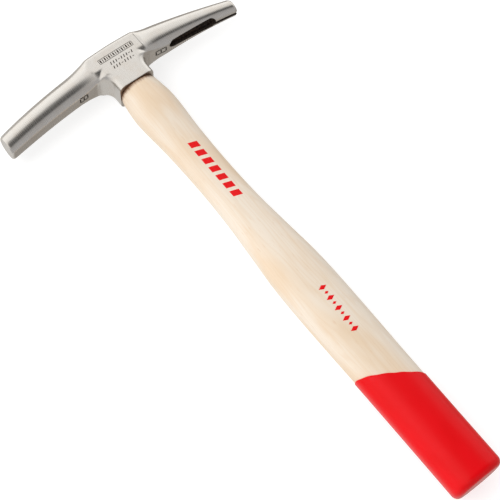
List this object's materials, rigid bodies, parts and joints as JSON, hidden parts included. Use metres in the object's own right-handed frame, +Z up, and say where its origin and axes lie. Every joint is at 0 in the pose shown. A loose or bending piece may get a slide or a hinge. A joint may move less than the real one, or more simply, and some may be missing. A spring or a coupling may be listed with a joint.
{
  "type": "magnetic tack hammer",
  "caption": "Light tack hammer with an arched steel head, a round striking face, a split magnetic face, an oval hardwood handle and a dipped red grip end.",
  "frame": {"origin": "under the middle of the tool's box, on the bench that it lies on", "axes": "+X along the head from the solid face to the split magnetic face, +Y along the handle from its butt to the head, +Z up, square to the flat cheeks"},
  "size_m": [0.1424, 0.2858, 0.0216],
  "materials": {
    "head_steel": "satin ground",
    "magnet": "dark sintered",
    "potting": "rough",
    "handle_wood": "sanded, clear sealed",
    "wedge_wood": "sawn",
    "wedge_steel": "rolled",
    "red_coat": "gloss dip"
  },
  "bodies": {
    "root": {"head": "head_steel", "magnet": "magnet", "magnet_bedding": "potting", "handle": "handle_wood", "wood_wedge": "wedge_wood", "steel_wedge": "wedge_steel", "grip_coat": "red_coat"}
  },
  "joints": []
}
